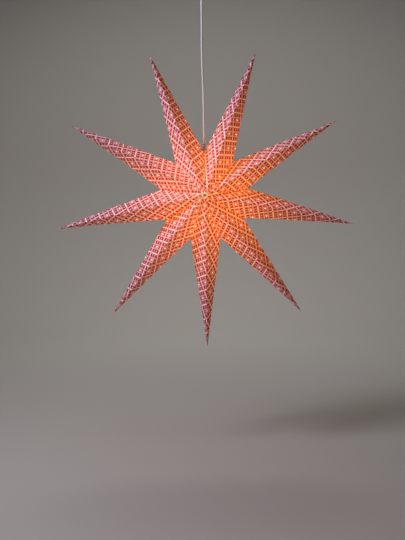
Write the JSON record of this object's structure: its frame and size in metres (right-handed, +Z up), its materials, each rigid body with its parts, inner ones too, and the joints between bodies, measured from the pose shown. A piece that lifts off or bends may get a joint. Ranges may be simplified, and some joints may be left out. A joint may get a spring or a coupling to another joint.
{
  "type": "paper star lantern",
  "caption": "Fold-out paper star pendant: hollow glued points round an opal tube bulb, on a round flex with a clear winged hanger, ceiling strap and cup.",
  "frame": {"origin": "middle of the strap's face that lies on the ceiling, on the flex's line", "axes": "+Z up into the ceiling, the star's front apex faces -Y, its width lies along X"},
  "size_m": [0.9848, 0.259, 1.24],
  "materials": {
    "printed_paper": "matte",
    "stiff_card": "matte",
    "eyelet_brass": "satin",
    "hook_tape": "matte",
    "clear_plastic": "gloss",
    "flex_sheath": "satin",
    "holder_plastic": "satin",
    "holder_ceramic": "matte",
    "nickel": "satin",
    "opal_plastic": "satin",
    "insulator_glass": "gloss",
    "nylon": "satin",
    "zinc_steel": "satin",
    "screw_brass": "satin",
    "cup_plastic": "satin"
  },
  "bodies": {
    "ceiling_strap": {"ceiling_bracket": "zinc_steel", "cord_clamp": "zinc_steel", "clamp_screws": "zinc_steel", "terminal_block": "nylon", "terminal_screws": "screw_brass", "hanging_cord": "flex_sheath"},
    "cup": {"ceiling_cup": "cup_plastic", "cup_grip": "cup_plastic", "cup_grip_nut": "cup_plastic", "cup_grip_screw": "nylon"},
    "pendant": {"star_point_bottom": "printed_paper", "front_eyelet": "eyelet_brass", "back_eyelet": "eyelet_brass", "cord_hanger": "clear_plastic", "lampholder_cap": "holder_plastic", "cord_grip_screw": "nylon", "lampholder_body": "holder_plastic", "lampholder_carrier": "holder_ceramic", "lampholder_shell": "nickel", "centre_contact": "nickel"},
    "bulb": {"bulb_tube": "opal_plastic", "bulb_base": "nickel", "bulb_insulator": "insulator_glass", "bulb_contact": "nickel"},
    "point_right_1": {"star_point_right_1": "printed_paper"},
    "point_right_2": {"star_point_right_2": "printed_paper"},
    "point_right_3": {"star_point_right_3": "printed_paper"},
    "point_right_4": {"star_point_right_4": "printed_paper"},
    "point_left_1": {"star_point_left_1": "printed_paper"},
    "point_left_2": {"star_point_left_2": "printed_paper"},
    "point_left_3": {"star_point_left_3": "printed_paper"},
    "point_left_4": {"star_point_left_4": "printed_paper"},
    "seam_right": {"seam_card_right_front": "stiff_card", "seam_card_right_back": "stiff_card", "seam_hook_tabs": "hook_tape"},
    "seam_left": {"seam_card_left_front": "stiff_card", "seam_card_left_back": "stiff_card", "seam_loop_tabs": "hook_tape"}
  },
  "joints": [
    {"name": "cup_slide", "type": "slide", "parent": "ceiling_strap", "child": "cup", "axis": [0, 0, -1], "range_m": [0, 0.06]},
    {"name": "turn_on_flex", "type": "hinge", "parent": "ceiling_strap", "child": "pendant", "pos_m": [0, 0, -0.6], "axis": [0, 0, 1], "range_deg": [-180, 180]},
    {"name": "bulb_out", "type": "slide", "parent": "pendant", "child": "bulb", "axis": [0, 0, -1], "range_m": [0, 0.026]},
    {"name": "fold", "type": "hinge", "parent": "pendant", "child": "point_right_4", "pos_m": [0, 0, -0.74], "axis": [0, 1, 0], "range_deg": [0, 156], "deforming": ["star_point_right_4", "star_point_bottom"]},
    {"name": "fold_right_1", "type": "hinge", "parent": "pendant", "child": "point_right_1", "pos_m": [0, 0, -0.74], "axis": [0, 1, 0], "range_deg": [0, 39], "deforming": ["star_point_right_1"]},
    {"name": "fold_right_2", "type": "hinge", "parent": "pendant", "child": "point_right_2", "pos_m": [0, 0, -0.74], "axis": [0, 1, 0], "range_deg": [0, 78], "deforming": ["star_point_right_2"]},
    {"name": "fold_right_3", "type": "hinge", "parent": "pendant", "child": "point_right_3", "pos_m": [0, 0, -0.74], "axis": [0, 1, 0], "range_deg": [0, 117], "deforming": ["star_point_right_3"]},
    {"name": "fold_left_1", "type": "hinge", "parent": "pendant", "child": "point_left_1", "pos_m": [0, 0, -0.74], "axis": [0, 1, 0], "range_deg": [-39, 0], "deforming": ["star_point_left_1"]},
    {"name": "fold_left_2", "type": "hinge", "parent": "pendant", "child": "point_left_2", "pos_m": [0, 0, -0.74], "axis": [0, 1, 0], "range_deg": [-78, 0], "deforming": ["star_point_left_2"]},
    {"name": "fold_left_3", "type": "hinge", "parent": "pendant", "child": "point_left_3", "pos_m": [0, 0, -0.74], "axis": [0, 1, 0], "range_deg": [-117, 0], "deforming": ["star_point_left_3"]},
    {"name": "fold_left_4", "type": "hinge", "parent": "pendant", "child": "point_left_4", "pos_m": [0, 0, -0.74], "axis": [0, 1, 0], "range_deg": [-156, 0], "deforming": ["star_point_left_4"]},
    {"name": "seam_right_fold", "type": "hinge", "parent": "pendant", "child": "seam_right", "pos_m": [0, 0, -0.74], "axis": [0, 1, 0], "range_deg": [0, 175.5]},
    {"name": "seam_left_fold", "type": "hinge", "parent": "pendant", "child": "seam_left", "pos_m": [0, 0, -0.74], "axis": [0, 1, 0], "range_deg": [-175.5, 0]}
  ],
  "couplings": [
    {"joint": "fold_right_1", "follows": "fold", "ratio": 0.25},
    {"joint": "fold_right_2", "follows": "fold", "ratio": 0.5},
    {"joint": "fold_right_3", "follows": "fold", "ratio": 0.75},
    {"joint": "fold_left_1", "follows": "fold", "ratio": -0.25},
    {"joint": "fold_left_2", "follows": "fold", "ratio": -0.5},
    {"joint": "fold_left_3", "follows": "fold", "ratio": -0.75},
    {"joint": "fold_left_4", "follows": "fold", "ratio": -1},
    {"joint": "seam_right_fold", "follows": "fold", "ratio": 1.125},
    {"joint": "seam_left_fold", "follows": "fold", "ratio": -1.125}
  ]
}
